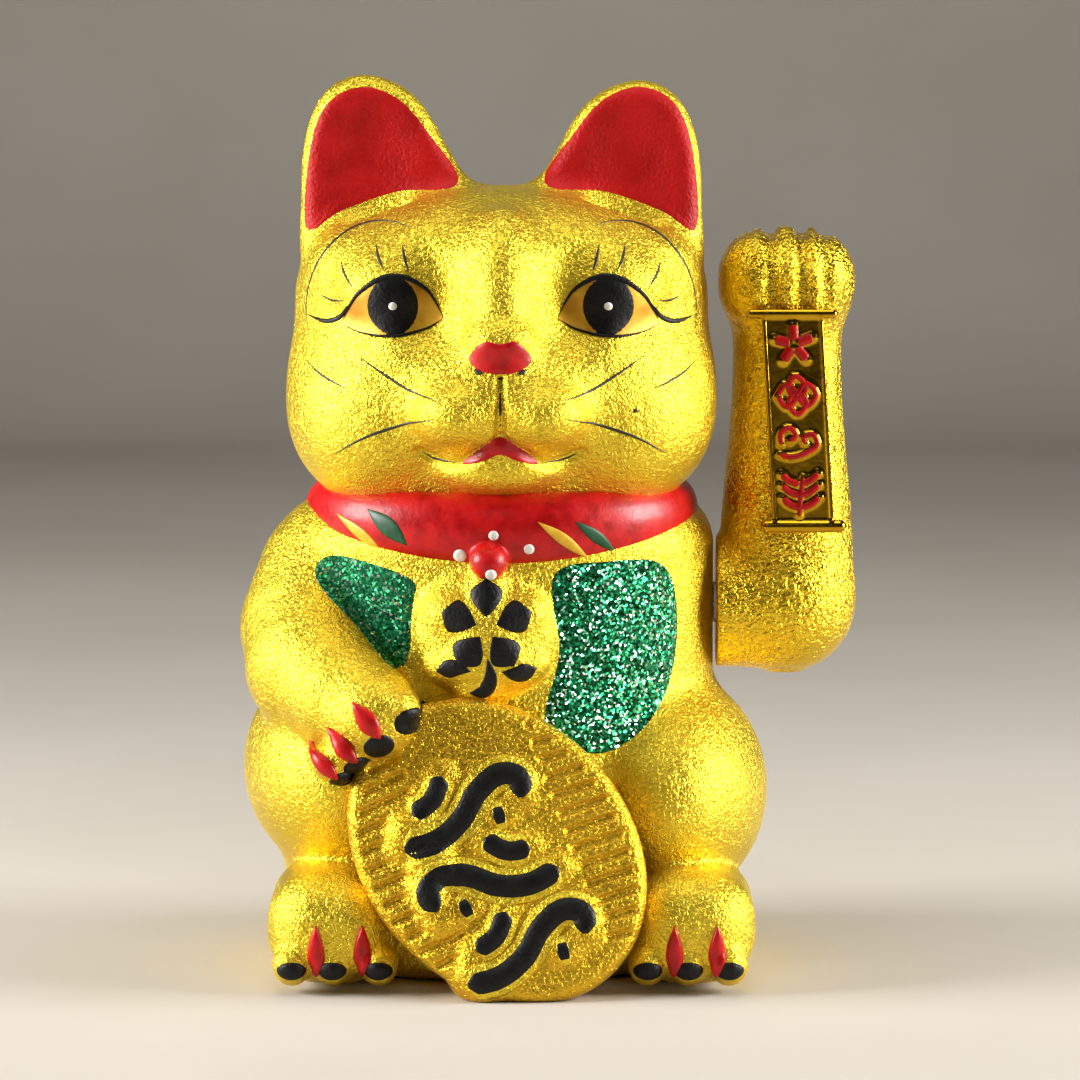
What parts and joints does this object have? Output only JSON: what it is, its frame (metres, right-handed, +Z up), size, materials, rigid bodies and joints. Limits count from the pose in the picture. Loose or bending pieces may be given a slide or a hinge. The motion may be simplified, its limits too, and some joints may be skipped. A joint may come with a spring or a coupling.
{
  "type": "beckoning cat figurine",
  "caption": "Seated cat figurine with a collar, a coin and a battery-driven arm that swings back and forth beside its head.",
  "frame": {"origin": "middle of the flat underside that the figurine stands on", "axes": "+Z up; -Y is the front, where the face looks; +X is the side of the raised arm"},
  "size_m": [0.1782, 0.1332, 0.2576],
  "materials": {
    "gold_painted_ceramic": "satin",
    "plated_gold": "gloss",
    "bright_plated_gold": "polished",
    "white_abs": "satin",
    "black_abs": "satin",
    "steel": "satin",
    "brass": "satin",
    "copper_wire": "gloss",
    "board_green": "satin",
    "cell_jacket": "gloss",
    "red_pvc": "satin",
    "black_pvc": "satin"
  },
  "bodies": {
    "figure": {"body_casting": "gold_painted_ceramic", "movement_frame": "white_abs", "bush_inner": "brass", "bush_outer": "brass", "coil_bobbin": "black_abs", "coil_winding": "copper_wire", "frame_screw_1": "steel", "frame_screw_2": "steel", "frame_screw_3": "steel", "frame_screw_4": "steel", "circuit_board": "board_green", "driver_chip": "black_abs", "capacitor": "cell_jacket", "transistor": "black_abs", "lead_positive": "red_pvc", "lead_negative": "black_pvc", "lead_switch": "black_pvc", "coil_lead": "black_pvc", "base_cover": "black_abs", "battery_box": "black_abs", "battery_front": "cell_jacket", "battery_rear": "cell_jacket", "contact_link": "steel", "contact_plate_positive": "steel", "contact_plate_negative": "steel", "contact_spring_front": "steel", "contact_spring_rear": "steel", "switch_body": "black_abs"},
    "raised_arm": {"arm_shell_front": "plated_gold", "arm_shell_back": "plated_gold", "arm_plaque": "bright_plated_gold", "arm_hub": "white_abs", "axle": "steel", "axle_clip": "steel", "pendulum_lever": "white_abs", "counterweight_inner": "steel", "counterweight_outer": "steel", "drive_magnet": "steel"},
    "battery_hatch": {"battery_door": "black_abs"},
    "power_switch": {"switch_knob": "white_abs"}
  },
  "joints": [
    {"name": "arm_swing", "type": "hinge", "parent": "figure", "child": "raised_arm", "pos_m": [0.02, 0, 0.1035], "axis": [1, 0, 0], "range_deg": [-22, 22]},
    {"name": "hatch_hinge", "type": "hinge", "parent": "figure", "child": "battery_hatch", "pos_m": [0, 0.0045, 0.0004], "axis": [-1, 0, 0], "range_deg": [0, 75]},
    {"name": "switch_slide", "type": "slide", "parent": "figure", "child": "power_switch", "axis": [1, 0, 0], "range_m": [0, 0.0036]}
  ]
}
